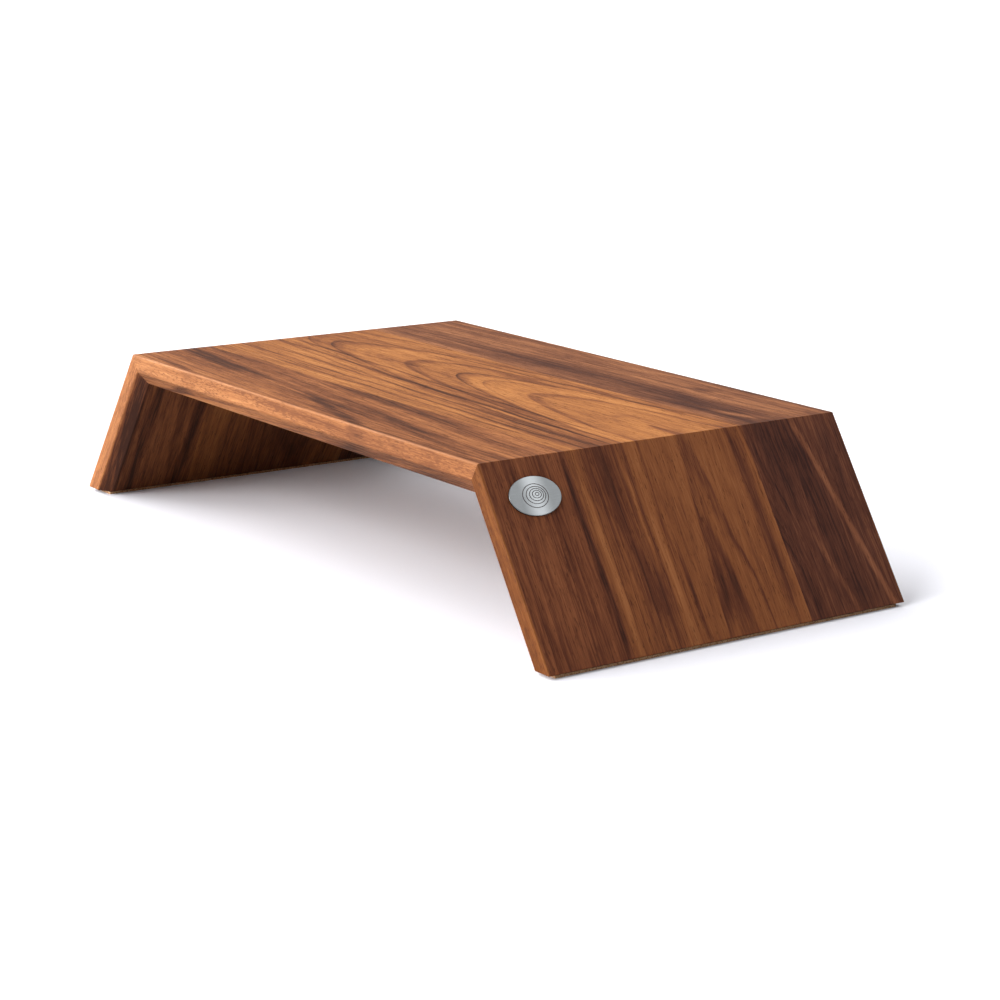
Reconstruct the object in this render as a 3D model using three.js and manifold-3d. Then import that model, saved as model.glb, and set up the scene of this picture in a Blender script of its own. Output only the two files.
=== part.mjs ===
// Tabletop riser in solid walnut, as a three.js scene graph.
//
// A flat top folds over two mitred corners into two legs that splay outwards. The top and each
// leg are panels of three edge-glued staves, whose joints run on round the corners. Loose beech
// tenons, hidden in the mitres, hold the corners. The legs stand on self-adhesive cork strips,
// and an oval steel badge sits near the front of the right leg.
//
// Millimetres, +Z up. X runs across the riser, Y from its front (-Y) to its back (+Y). The
// origin is on the surface that it stands on, under the middle of the top.

import * as THREE from "three";
import { mergeVertices } from "three/addons/utils/BufferGeometryUtils.js";
import Module from "manifold-3d";

// Overall sizes
const HEIGHT = 100;
const DEPTH = 250;
const TOP_WIDTH = 372; // between the two upper arrises
const FOOT_WIDTH = 500; // between the outer edges of the feet
const BOARD = 18; // thickness of the panels

// Staves, from front to back: the same widths in the top and in both legs
const STAVES = [
  { name: "front", width: 56 },
  { name: "middle", width: 124 },
  { name: "back", width: 70 },
];

// Chamfer along the inner edges, at the front and the back
const CHAMFER_ACROSS = 8; // across the thickness of the board
const CHAMFER_DEEP = 6; // along the depth of the riser

// Mitred corners
const GLUE_GAP = 0.3; // between the two faces of a mitre
const TENON = { length: 30, width: 19, thickness: 5 };
const TENON_FROM_ARRIS = 15; // down the mitre, to the tenon's middle
const TENON_PLACES = [-97, -38, 24, 90]; // along the depth
const MORTISE_PLAY = 0.3; // around a tenon, and past each of its ends

// Foot strips
const FOOT_LIFT = 2; // from the ground to the wood
const CORK = { width: 18, thickness: 1.6 };
const FILM_THICKNESS = 0.3; // adhesive film on top of the cork
const STRIP_INSET = 5; // from the front and the back of the leg

// Badge, on the outer face of the right leg
const BADGE = { length: 33, width: 22, thickness: 0.8 };
const BADGE_DOWN_SLOPE = 22; // from the arris to the badge's middle
const BADGE_FROM_FRONT = 28;
const BADGE_PAD = { inset: 1, thickness: 0.2 };
const BADGE_GAP = 0.05; // under the pad, and between the pad and the plate
const OVAL_SEGMENTS = 36;
const ROUND_SEGMENTS = 8; // along each rounded edge of a tenon

// Angles and lengths that follow
const SPLAY = Math.atan2((FOOT_WIDTH - TOP_WIDTH) / 2, HEIGHT - FOOT_LIFT);
const FOLD = Math.PI / 2 - SPLAY; // turn from the top's direction to the leg's
const MITRE_RUN = BOARD * Math.tan(FOLD / 2); // how far a mitre reaches along a board
const GAP_RUN = GLUE_GAP / 2 / Math.cos(FOLD / 2); // half the glue gap along a board
const SLOPE = (HEIGHT - FOOT_LIFT) / Math.cos(SPLAY); // outer face of a leg, down its slope
const FOOT_RUN = BOARD * Math.tan(SPLAY); // how far the foot's cut reaches up the inner face
const FOOT_MIDDLE = (FOOT_WIDTH - BOARD / Math.cos(SPLAY)) / 2; // X of the middle of a foot
const PAST = 5; // how far a cutting tool runs past what it cuts

const wasm = await Module();
wasm.setup();

const WALNUT = { color: 0x8a5433, roughness: 0.5, metalness: 0 };
const BEECH = { color: 0xc9a478, roughness: 0.7, metalness: 0 };
const CORK_LOOK = { color: 0xb98a5c, roughness: 0.95, metalness: 0 };
const FILM_LOOK = { color: 0x2c211a, roughness: 0.6, metalness: 0 };
const STEEL = { color: 0xb9bec2, roughness: 0.35, metalness: 1 };

/** A closed geometry as a solid that can be joined and cut. */
function solidOf(geometry) {
  const bare = geometry.index ? geometry.toNonIndexed() : geometry.clone();
  bare.deleteAttribute("normal");
  bare.deleteAttribute("uv");
  const merged = mergeVertices(bare, 1e-4);
  return new wasm.Manifold(
    new wasm.Mesh({
      numProp: 3,
      vertProperties: new Float32Array(merged.attributes.position.array),
      triVerts: new Uint32Array(merged.index.array),
    }),
  );
}

/** A solid back as a flat-shaded geometry. */
function geometryOf(solid) {
  const { vertProperties, triVerts } = solid.getMesh();
  const geometry = new THREE.BufferGeometry();
  geometry.setAttribute("position", new THREE.BufferAttribute(vertProperties, 3));
  geometry.setIndex(new THREE.BufferAttribute(triVerts, 1));
  const flat = geometry.toNonIndexed();
  flat.computeVertexNormals();
  return flat;
}

/** One named sub-part. */
function part(name, geometry, look) {
  const mesh = new THREE.Mesh(geometry, new THREE.MeshStandardMaterial(look));
  mesh.name = name;
  return mesh;
}

/** A closed outline through [x, y] points. */
function outline(points) {
  return new THREE.Shape(points.map(([x, y]) => new THREE.Vector2(x, y)));
}

/** A prism whose outline is in X and Z, from the front to the back of a stave. */
function prismAlongY(points, front, back) {
  const prism = new THREE.ExtrudeGeometry(outline(points), {
    depth: back - front,
    bevelEnabled: false,
  });
  return prism.rotateX(Math.PI / 2).translate(0, back, 0);
}

/** A prism whose section is in Y and Z, from one X to another. */
function prismAlongX(section, left, right) {
  const prism = new THREE.ExtrudeGeometry(section, {
    depth: right - left,
    bevelEnabled: false,
    curveSegments: ROUND_SEGMENTS,
  });
  const turn = new THREE.Matrix4().makeBasis(
    new THREE.Vector3(0, 1, 0),
    new THREE.Vector3(0, 0, 1),
    new THREE.Vector3(1, 0, 0),
  );
  return prism.applyMatrix4(turn).translate(left, 0, 0);
}

/** A bar with rounded long edges, centred on the origin, its length along X and width along Y. */
function roundedBar({ length, width, thickness }) {
  const radius = thickness / 2;
  const straight = width / 2 - radius;
  const section = new THREE.Shape();
  section.absarc(straight, 0, radius, -Math.PI / 2, Math.PI / 2, false);
  section.absarc(-straight, 0, radius, Math.PI / 2, Math.PI * 1.5, false);
  return prismAlongX(section, -length / 2, length / 2);
}

/** The chamfers' cutting prisms, for a board whose inner face is at height inner. */
function chamferTools(inner, left, right) {
  const reach = PAST / CHAMFER_DEEP;
  return [-1, 1].map((side) => {
    const edge = (side * DEPTH) / 2;
    const triangle = [
      [edge - side * (CHAMFER_DEEP + PAST), inner - CHAMFER_ACROSS * reach],
      [edge + side * PAST, inner - CHAMFER_ACROSS * reach],
      [edge + side * PAST, inner + CHAMFER_ACROSS * (1 + reach)],
    ];
    return solidOf(prismAlongX(outline(triangle), left - PAST, right + PAST));
  });
}

/** The mortises of a mitre, for a board turned by angle about the arris at the origin. */
function mortiseTools(angle) {
  const hole = {
    length: TENON.length + 2 * MORTISE_PLAY,
    width: TENON.width + 2 * MORTISE_PLAY,
    thickness: TENON.thickness + 2 * MORTISE_PLAY,
  };
  return TENON_PLACES.map((y) =>
    solidOf(roundedBar(hole).translate(0, y, -TENON_FROM_ARRIS).rotateY(angle)),
  );
}

/** Where each stave begins and ends, front to back. */
function staveSpans() {
  let front = -DEPTH / 2;
  return STAVES.map(({ name, width }) => {
    const span = { name, front, back: front + width };
    front += width;
    return span;
  });
}

/** A stave: its blank, less whatever tools reach into it. */
function stave(points, span, tools) {
  const blank = solidOf(prismAlongY(points, span.front, span.back));
  return geometryOf(tools.reduce((wood, tool) => wood.subtract(tool), blank));
}

/** The top's staves, mitred at both ends. */
function topStaves() {
  const inner = HEIGHT - BOARD;
  const arris = TOP_WIDTH / 2;
  const upper = arris - GAP_RUN;
  const lower = upper - MITRE_RUN;
  const points = [
    [-lower, inner],
    [lower, inner],
    [upper, HEIGHT],
    [-upper, HEIGHT],
  ];
  const right = mortiseTools(FOLD / 2).map((tool) => tool.translate(arris, 0, HEIGHT));
  const left = right.map((tool) => tool.mirror([1, 0, 0]));
  const tools = [...chamferTools(inner, -arris, arris), ...right, ...left];
  return staveSpans().map((span) =>
    part(`top_stave_${span.name}`, stave(points, span, tools), WALNUT),
  );
}

/**
 * A leg's staves, in the leg's own frame: the arris is at the origin, X runs down the slope and
 * Z out of the outer face. A leg turned half way round has its front towards +Y.
 */
function legStaves(side, front) {
  const points = [
    [GAP_RUN + MITRE_RUN, -BOARD],
    [SLOPE - FOOT_RUN, -BOARD],
    [SLOPE, 0],
    [GAP_RUN, 0],
  ];
  const mortises = mortiseTools(-FOLD / 2);
  const facing = front < 0 ? mortises : mortises.map((tool) => tool.mirror([0, 1, 0]));
  const tools = [...chamferTools(-BOARD, 0, SLOPE), ...facing];
  return staveSpans().map((span) => {
    const ends = [span.front * -front, span.back * -front].sort((a, b) => a - b);
    const turned = { front: ends[0], back: ends[1] };
    return part(`leg_${side}_stave_${span.name}`, stave(points, turned, tools), WALNUT);
  });
}

/** A corner's loose tenons, in the mitre's frame: X out of its face, Z up towards the arris. */
function tenons(side, front) {
  return TENON_PLACES.map((y, index) => {
    const mesh = part(`mitre_tenon_${side}_${index + 1}`, roundedBar(TENON), BEECH);
    mesh.position.set(0, y * -front, -TENON_FROM_ARRIS);
    return mesh;
  });
}

/** An oval plate standing on the XY plane, its length along Y. */
function oval(length, width, thickness) {
  const shape = new THREE.Shape();
  shape.absellipse(0, 0, width / 2, length / 2, 0, Math.PI * 2, false);
  return new THREE.ExtrudeGeometry(shape, {
    depth: thickness,
    bevelEnabled: false,
    curveSegments: OVAL_SEGMENTS,
  });
}

/** The badge and its adhesive pad, in the right leg's frame. */
function badge() {
  const trim = 2 * BADGE_PAD.inset;
  const pad = part(
    "badge_adhesive_pad",
    oval(BADGE.length - trim, BADGE.width - trim, BADGE_PAD.thickness),
    FILM_LOOK,
  );
  const plate = part("badge_plate", oval(BADGE.length, BADGE.width, BADGE.thickness), STEEL);
  pad.position.z = BADGE_GAP;
  plate.position.z = BADGE_GAP + BADGE_PAD.thickness + BADGE_GAP;
  const place = new THREE.Group();
  place.position.set(BADGE_DOWN_SLOPE, BADGE_FROM_FRONT - DEPTH / 2, 0);
  place.add(pad, plate);
  return place;
}

/** A cork strip and its adhesive film, under a leg. */
function footStrip(side, x) {
  const length = DEPTH - 2 * STRIP_INSET;
  const cork = part(
    `foot_cork_${side}`,
    new THREE.BoxGeometry(CORK.width, length, CORK.thickness),
    CORK_LOOK,
  );
  const film = part(
    `foot_film_${side}`,
    new THREE.BoxGeometry(CORK.width, length, FILM_THICKNESS),
    FILM_LOOK,
  );
  cork.position.z = CORK.thickness / 2;
  film.position.z = CORK.thickness + FILM_THICKNESS / 2;
  const place = new THREE.Group();
  place.position.x = x;
  place.add(cork, film);
  return place;
}

/** One side of the riser: its corner's tenons, its leg and its foot. The left is turned round. */
function sideOf(side) {
  const front = side === "right" ? -1 : 1; // which way the front is, in the turned frame
  const corner = new THREE.Group();
  corner.position.set(TOP_WIDTH / 2, 0, HEIGHT);
  corner.rotation.y = FOLD / 2;
  corner.add(...tenons(side, front));
  const leg = new THREE.Group();
  leg.position.set(TOP_WIDTH / 2, 0, HEIGHT);
  leg.rotation.y = FOLD;
  leg.add(...legStaves(side, front));
  if (side === "right") {
    leg.add(badge());
  }
  const half = new THREE.Group();
  half.rotation.z = side === "right" ? 0 : Math.PI;
  half.add(corner, leg, footStrip(side, FOOT_MIDDLE));
  return half;
}

const riser = new THREE.Group();
riser.add(...topStaves(), sideOf("left"), sideOf("right"));

export default riser;
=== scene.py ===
"""Looks of a solid walnut tabletop riser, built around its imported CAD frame.

The frame gives every size and place: this script measures the fold, the boards, the foot strips
and the badge on the CAD nodes, and makes a finer copy of each visible piece there. Metres, +Z up,
X across the riser, Y from its front (-Y) to its back (+Y).
"""

from __future__ import annotations

import logging
import math
from dataclasses import dataclass, field
from enum import Enum
from typing import Sequence

import bmesh
import bpy
from mathutils import Matrix, Vector


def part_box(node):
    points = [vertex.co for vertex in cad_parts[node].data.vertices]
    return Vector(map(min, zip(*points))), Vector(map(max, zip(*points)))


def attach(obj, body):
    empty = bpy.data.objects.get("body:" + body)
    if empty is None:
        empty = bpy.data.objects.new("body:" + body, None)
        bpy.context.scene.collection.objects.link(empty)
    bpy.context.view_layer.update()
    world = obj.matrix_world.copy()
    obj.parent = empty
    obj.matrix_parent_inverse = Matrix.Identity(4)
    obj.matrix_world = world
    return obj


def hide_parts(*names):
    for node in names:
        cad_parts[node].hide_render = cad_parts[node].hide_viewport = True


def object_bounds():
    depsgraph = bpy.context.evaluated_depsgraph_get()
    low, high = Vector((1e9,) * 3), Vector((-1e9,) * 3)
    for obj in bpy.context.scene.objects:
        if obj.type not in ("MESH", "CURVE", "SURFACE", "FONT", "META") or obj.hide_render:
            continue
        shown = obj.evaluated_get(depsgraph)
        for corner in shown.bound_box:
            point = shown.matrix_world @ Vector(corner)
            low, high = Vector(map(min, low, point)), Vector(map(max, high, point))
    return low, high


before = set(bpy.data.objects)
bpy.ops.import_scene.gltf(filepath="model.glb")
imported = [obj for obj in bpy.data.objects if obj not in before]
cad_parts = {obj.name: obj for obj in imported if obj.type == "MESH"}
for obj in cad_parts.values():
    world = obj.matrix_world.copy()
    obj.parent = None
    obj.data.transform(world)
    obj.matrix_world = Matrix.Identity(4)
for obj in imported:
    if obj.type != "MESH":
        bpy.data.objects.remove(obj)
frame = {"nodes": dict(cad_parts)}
cad_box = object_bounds()

LOG = logging.getLogger("riser")

MM = 0.001
NEAR = 1e-6  # metres within which two places count as one
MITRE_GAP = 0.3 * MM  # glue gap that the CAD model leaves in a mitre
STAVE_NAMES = ("front", "middle", "back")
UP = Vector((0.0, 0.0, 1.0))

Piece = bpy.types.Object
Shape = bmesh.types.BMesh
Tree = bpy.types.NodeTree
Socket = bpy.types.NodeSocket
Value = float | Sequence[float] | Socket
Colour = tuple[float, float, float]
Span = tuple[float, float]


class Side(Enum):
    """The two sides of the riser, with the sign of their X."""

    LEFT = -1
    RIGHT = 1

    @property
    def word(self) -> str:
        """The side's name as the CAD nodes spell it."""
        return self.name.lower()


# Drawing node trees


class Sheet:
    """A node tree being drawn, with a short call for each kind of node that a finish uses."""

    def __init__(self, tree: Tree) -> None:
        """Starts on the tree of a material, a world or a node group."""
        self.tree = tree

    def add(
        self, kind: str, inputs: dict[str | int, Value] | None = None, **settings: object
    ) -> bpy.types.Node:
        """Adds a shader node.

        Args:
            kind: the node's type, such as "Math".
            inputs: what feeds its inputs, by name or number.
            settings: properties to set on it.

        Returns:
            The new node.
        """
        node = self.tree.nodes.new(f"ShaderNode{kind}")
        for name, value in settings.items():
            setattr(node, name, value)
        for key, value in (inputs or {}).items():
            self.feed(node.inputs[key], value)
        return node

    def feed(self, socket: Socket, value: Value) -> None:
        """Links a socket to another one, or sets its own value.

        Args:
            socket: the input to feed.
            value: an output socket, a number or a tuple; a colour may leave out its alpha.
        """
        if isinstance(value, Socket):
            self.tree.links.new(value, socket)
        elif socket.type == "RGBA" and len(value) == 3:
            socket.default_value = (*value, 1.0)
        else:
            socket.default_value = value

    def math(self, operation: str, *values: Value, clamp: bool = False) -> Socket:
        """The result of a Math node's operation, kept between 0 and 1 if clamped."""
        node = self.add("Math", dict(enumerate(values)), operation=operation, use_clamp=clamp)
        return node.outputs[0]

    def plus(self, a: Value, b: Value) -> Socket:
        """The sum of two numbers."""
        return self.math("ADD", a, b)

    def minus(self, a: Value, b: Value) -> Socket:
        """A number less another."""
        return self.math("SUBTRACT", a, b)

    def times(self, a: Value, b: Value) -> Socket:
        """The product of two numbers."""
        return self.math("MULTIPLY", a, b)

    def over(self, a: Value, b: Value) -> Socket:
        """A number divided by another."""
        return self.math("DIVIDE", a, b)

    def squares(self, a: Value, b: Value) -> Socket:
        """The sum of two numbers' squares."""
        return self.plus(self.times(a, a), self.times(b, b))

    def total(self, base: Value, *parts: tuple[Value, Value]) -> Value:
        """Adds weighted parts to a number.

        Args:
            base: the number.
            parts: each part with its weight.

        Returns:
            The total.
        """
        for part, weight in parts:
            base = self.math("MULTIPLY_ADD", part, weight, base)
        return base

    def moved(self, place: Value, move: Value) -> Socket:
        """A place after a move."""
        return self.add("VectorMath", {0: place, 1: move}, operation="ADD").outputs[0]

    def stretched(self, place: Value, stretch: Value) -> Socket:
        """A place multiplied part by part."""
        return self.add("VectorMath", {0: place, 1: stretch}, operation="MULTIPLY").outputs[0]

    def split(self, vector: Value) -> tuple[Socket, ...]:
        """The three parts of a vector."""
        return tuple(self.add("SeparateXYZ", {0: vector}).outputs)

    def join(self, x: Value, y: Value, z: Value) -> Socket:
        """A vector of three numbers."""
        return self.add("CombineXYZ", {0: x, 1: y, 2: z}).outputs[0]

    def here(self) -> Socket:
        """The place on the piece, in metres."""
        return self.add("TexCoord").outputs["Object"]

    def here_from(self, origin: Vector, turn: float) -> Socket:
        """The place on the piece, seen from a frame at an origin that is turned about Y."""
        inputs = {"Vector": self.here(), "Location": origin, "Rotation": (0.0, turn, 0.0)}
        return self.add("Mapping", inputs, vector_type="TEXTURE").outputs[0]

    def noise(
        self, place: Value, scale: float | tuple, detail: float = 2.0, rough: float = 0.5
    ) -> Socket:
        """Smooth noise in three dimensions.

        Args:
            place: where to read it.
            scale: how many features there are to a unit, along all axes or along each.
            detail: how many finer layers are added.
            rough: how strong those layers are.

        Returns:
            The noise, around 0.5.
        """
        place = self.stretched(place, scale if isinstance(scale, tuple) else (scale,) * 3)
        inputs = {"Vector": place, "Scale": 1.0, "Detail": detail, "Roughness": rough}
        return self.add("TexNoise", inputs).outputs["Fac"]

    def noise_along(self, w: Value, scale: float, detail: float) -> Socket:
        """Smooth noise along a line, around 0.5."""
        inputs = {"W": w, "Scale": scale, "Detail": detail}
        return self.add("TexNoise", inputs, noise_dimensions="1D").outputs["Fac"]

    def fit(self, value: Value, low: float, high: float, to: Span = (0.0, 1.0)) -> Socket:
        """Maps a range to another, with a soft start and end.

        Args:
            value: the number to map.
            low: where the range starts; it may be above high.
            high: where the range ends.
            to: what low and high become.

        Returns:
            The mapped number.
        """
        inputs = {"Value": value, "From Min": low, "From Max": high}
        inputs |= {"To Min": to[0], "To Max": to[1]}
        return self.add("MapRange", inputs, interpolation_type="SMOOTHSTEP").outputs[0]

    def mix(self, share: Value, a: Value, b: Value, blend: str = "MIX") -> Socket:
        """Colour a with a share of colour b, by one of the Mix node's blend types."""
        inputs = {"Factor": share, 6: a, 7: b}
        return self.add("Mix", inputs, data_type="RGBA", blend_type=blend).outputs[2]

    def ramp(self, share: Value, *stops: tuple[float, Colour]) -> Socket:
        """Turns a number into a colour.

        Args:
            share: the number, from 0 to 1.
            stops: places along the ramp with their colours, in order.

        Returns:
            The colour.
        """
        node = self.add("ValToRGB", {0: share})
        points = node.color_ramp.elements
        while len(points) < len(stops):
            points.new(1.0)
        for point, (place, colour) in zip(points, stops):
            point.position = place
            point.color = (*colour, 1.0)
        return node.outputs[0]

    def bump(self, height: Value, strength: float, deep: float) -> Socket:
        """A normal roughened by a height from 0 to 1, which is some metres deep."""
        inputs = {"Strength": strength, "Distance": deep, "Height": height}
        return self.add("Bump", inputs).outputs["Normal"]

    def effect(self, group: Tree, source: object, **given: Value) -> Sequence[Socket]:
        """Places a shared effect.

        Args:
            group: the effect's node group.
            source: what has the inputs that aren't given, as fields of the same names.
            given: inputs by name.

        Returns:
            The effect's outputs.
        """
        node = self.add("Group", node_tree=group)
        for socket in node.inputs:
            name = socket.name.lower().replace(" ", "_")
            self.feed(socket, given[name] if name in given else getattr(source, name))
        return node.outputs


class Effect:
    """A shader node group being drawn, with named inputs and outputs, to be built once."""

    def __init__(self, name: str, *inputs: str) -> None:
        """Starts the group with its inputs.

        Args:
            name: the group's name.
            inputs: names of the inputs: Log is a place, and the others are numbers.
        """
        self.tree = bpy.data.node_groups.new(name, "ShaderNodeTree")
        for label in inputs:
            kind = "NodeSocketVector" if label == "Log" else "NodeSocketFloat"
            self.tree.interface.new_socket(label, in_out="INPUT", socket_type=kind)
        self.sheet = Sheet(self.tree)
        self.given = self.tree.nodes.new("NodeGroupInput").outputs

    def giving(self, **results: Value) -> Tree:
        """Ends the group with its outputs.

        Args:
            results: the numbers that it gives, by name.

        Returns:
            The group.
        """
        for label in results:
            kind = "NodeSocketFloat"
            self.tree.interface.new_socket(label, in_out="OUTPUT", socket_type=kind)
        outputs = self.tree.nodes.new("NodeGroupOutput").inputs
        for label, value in results.items():
            self.sheet.feed(outputs[label], value)
        return self.tree


@dataclass(frozen=True)
class Grain:
    """Noise drawn out along the grain.

    Along and across are its features to a millimetre, detail its finer layers, rough their
    strength, and shown the range of it that counts.
    """

    along: float
    across: float
    detail: float
    rough: float
    shown: Span

    def drawn(self, sheet: Sheet, log: Value) -> Socket:
        """The noise at a place in the log, around 0.5."""
        scale = (self.along, self.across, self.across)
        return sheet.noise(log, scale, self.detail, self.rough)


GRAINS = {
    "Streaks": Grain(0.008, 0.16, 4.0, 0.6, (0.3, 0.7)),
    "Fibre": Grain(0.03, 0.75, 2.0, 0.6, (0.28, 0.72)),
    "Hair": Grain(0.07, 1.25, 2.0, 0.7, (0.3, 0.7)),
    "Pores": Grain(0.17, 1.5, 2.0, 0.6, (0.6, 0.68)),
    "Mottle": Grain(0.012, 0.03, 3.0, 0.5, (0.3, 0.7)),
}
DASHES = Grain(0.24, 1.3, 3.0, 0.65, (0.75, 0.87))
CROWD = Grain(0.02, 0.16, 1.0, 0.5, (0.0, 1.0))
CROWDING = 0.5  # how much the crowd adds to the dashes, so that they gather in places


class WoodEffects:
    """The shared effects of the wooden pieces.

    Their places are in log millimetres: X along the grain, Y across the board and Z through it.
    """

    def __init__(self) -> None:
        """Builds each effect once."""
        self.rings = self._rings()
        self.tone = self._tone()
        self.fibres = self._fibres()
        self.streak = self._streak()
        self.knot = self._knot()
        self.arris = self._arris()

    def _rings(self) -> Tree:
        """Counts the growth rings of a log whose heart runs beside the board.

        Returns:
            A group whose Count grows by one from ring to ring.
        """
        effect = Effect(
            "growth_rings",
            *("Log", "Heart Y", "Heart Z", "Shift", "Straight", "Spread", "March", "Waver", "Seed"),
        )
        sheet, given = effect.sheet, effect.given
        shifted = sheet.moved(given["Log"], sheet.join(given["Seed"], given["Seed"], 0.0))
        sway = sheet.minus(sheet.noise(shifted, (0.0065, 0.016, 0.016), 1.5), 0.5)
        ripple = sheet.minus(sheet.noise(shifted, (0.028, 0.085, 0.085)), 0.5)
        aside = sheet.times(sheet.total(sway, (ripple, 0.16)), given["Waver"])
        u, v, w = sheet.split(given["Log"])
        across = sheet.plus(sheet.minus(v, given["Heart Y"]), aside)
        through = sheet.total(sheet.minus(w, given["Heart Z"]), (aside, 0.7))
        count = sheet.over(sheet.squares(across, through), given["Spread"])
        past = sheet.math("MAXIMUM", sheet.minus(u, given["Straight"]), 0.0)
        along = sheet.total(sheet.plus(u, given["Shift"]), (past, -0.8))
        return effect.giving(Count=sheet.minus(count, sheet.over(along, given["March"])))

    def _tone(self) -> Tree:
        """Turns a ring count into soft bands of colour and thin dark ring lines.

        Returns:
            A group with Band, Fine and Line, each from 0 to 1.
        """
        effect = Effect("ring_tone", "Count", "Lines")
        sheet, given = effect.sheet, effect.given
        count = given["Count"]
        drift = sheet.noise_along(count, 0.45, 1.0)
        phase = sheet.total(sheet.times(count, given["Lines"]), (drift, 3.0))
        phase = sheet.math("FRACT", phase)
        line = sheet.times(sheet.math("POWER", phase, 9.0), sheet.fit(phase, 1.0, 0.94))
        strength = sheet.fit(sheet.noise_along(count, 1.9, 0.0), 0.35, 0.6, (1.08, 1.8))
        return effect.giving(
            Band=sheet.fit(sheet.noise_along(count, 0.55, 1.5), 0.3, 0.7),
            Fine=sheet.fit(sheet.noise_along(count, 4.1, 3.0), 0.28, 0.72),
            Line=sheet.math("MINIMUM", sheet.times(line, strength), 1.0),
        )

    def _fibres(self) -> Tree:
        """Draws what runs along the grain: colour streaks, fibres and open pores.

        Returns:
            A group with Streaks, Fibre, Hair, Pores, Mottle and Dashes, each from 0 to 1.
        """
        effect = Effect("fibres", "Log", "Seed")
        sheet, given = effect.sheet, effect.given
        seed = given["Seed"]
        shifted = sheet.moved(given["Log"], sheet.join(seed, seed, seed))
        drawn = {
            name: sheet.fit(grain.drawn(sheet, shifted), *grain.shown)
            for name, grain in GRAINS.items()
        }
        crowd = CROWD.drawn(sheet, shifted)
        dashes = sheet.total(DASHES.drawn(sheet, shifted), (crowd, CROWDING))
        return effect.giving(**drawn, Dashes=sheet.fit(dashes, *DASHES.shown))

    def _streak(self) -> Tree:
        """Draws one soft streak along the grain, between two places.

        Returns:
            A group whose Mask is 1 in the middle of the streak.
        """
        effect = Effect(
            "heart_streak",
            *("Log", "Across", "Slope", "Width", "Start", "End", "Fade", "Waver"),
        )
        sheet, given = effect.sheet, effect.given
        u, v, _ = sheet.split(given["Log"])
        sway = sheet.minus(sheet.noise(given["Log"], (0.012, 0.02, 0.02), 3.0), 0.5)
        begun = sheet.minus(u, given["Start"])
        away = sheet.minus(v, sheet.total(given["Across"], (begun, given["Slope"])))
        away = sheet.math("ABSOLUTE", sheet.total(away, (sway, given["Waver"])))
        across = sheet.fit(sheet.over(away, given["Width"]), 1.0, 0.25)
        come = sheet.math("DIVIDE", begun, given["Fade"], clamp=True)
        left = sheet.math("DIVIDE", sheet.minus(given["End"], u), given["Fade"], clamp=True)
        return effect.giving(Mask=sheet.times(across, sheet.times(come, left)))

    def _knot(self) -> Tree:
        """Draws where the rings swell around a buried knot.

        Returns:
            A group whose Swell is 1 at the knot and falls to 0 around it.
        """
        effect = Effect("knot", "Log", "At X", "At Y", "Long", "Wide")
        sheet, given = effect.sheet, effect.given
        u, v, _ = sheet.split(given["Log"])
        along = sheet.over(sheet.minus(u, given["At X"]), given["Long"])
        across = sheet.over(sheet.minus(v, given["At Y"]), given["Wide"])
        swell = sheet.over(1.0, sheet.plus(1.0, sheet.squares(along, across)))
        return effect.giving(Swell=sheet.times(swell, swell))

    def _arris(self) -> Tree:
        """Draws the worn, lighter strip along a board's outer edges, at the front and the back.

        It is also a painted highlight, where the arris catches the light.

        Returns:
            A group whose first output is 1 on the worn and highlighted arris, and whose Side is 1
            on the edge's own face.
        """
        effect = Effect("arris_wear", "Log", "Half Depth", "Width")
        sheet, given = effect.sheet, effect.given
        _, v, w = sheet.split(given["Log"])
        inward = sheet.minus(given["Half Depth"], sheet.math("ABSOLUTE", v))
        reach = sheet.math("SQRT", sheet.squares(inward, w))
        ragged = sheet.noise(given["Log"], (0.06, 0.8, 0.8), 3.0)
        reach = sheet.plus(reach, sheet.minus(ragged, 0.5))
        # Worn arris, lighter, which is also a painted highlight along the edge.
        wear = sheet.math("SUBTRACT", 1.0, sheet.over(reach, given["Width"]), clamp=True)
        return effect.giving(Wear=wear, Side=sheet.fit(inward, 1.0, 0.2))


# Finishes


class Finish:
    """A surface that is drawn on one Principled shader."""

    def material(self, name: str) -> bpy.types.Material:
        """Makes the finish's material.

        Args:
            name: the material's name.

        Returns:
            The material.
        """
        material = bpy.data.materials.new(name)
        material.use_nodes = True
        material.node_tree.nodes.clear()
        sheet = Sheet(material.node_tree)
        shader = sheet.add("BsdfPrincipled", self.drawn(sheet))
        sheet.add("OutputMaterial", {"Surface": shader.outputs[0]})
        return material

    def drawn(self, sheet: Sheet) -> dict[str, Value]:
        """Draws the finish.

        Args:
            sheet: the material's sheet.

        Returns:
            What feeds the shader's inputs, by name.
        """
        raise NotImplementedError


@dataclass(frozen=True)
class Streak:
    """A dark or light streak along the grain, in log millimetres.

    It crosses the board at `across` where it starts, and drifts from there by its slope. Dark
    streaks have a positive strength and light ones a negative strength.
    """

    across: float
    width: float
    strength: float
    start: float = -310.0
    end: float = 310.0
    slope: float = 0.0
    fade: float = 60.0
    waver: float = 8.0


@dataclass(frozen=True)
class Knot:
    """A buried knot that the rings swell around, in log millimetres."""

    at_x: float
    at_y: float
    long: float
    wide: float
    rings: float


@dataclass(frozen=True)
class Tint:
    """One panel's colour shift against the rest of its row, with painted light and shade.

    The face and edge colours multiply the wood's own, on the panel's faces and on its long
    edges; on the legs they are painted shade on faces that stand in shade, painted light on the
    left leg's front edge and painted shade on the right leg's. Contrast scales the grain's lines,
    and depth darkens the wood as painted shade.
    """

    face: Colour
    edge: Colour
    contrast: float = 1.0
    depth: float = 0.0


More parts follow.
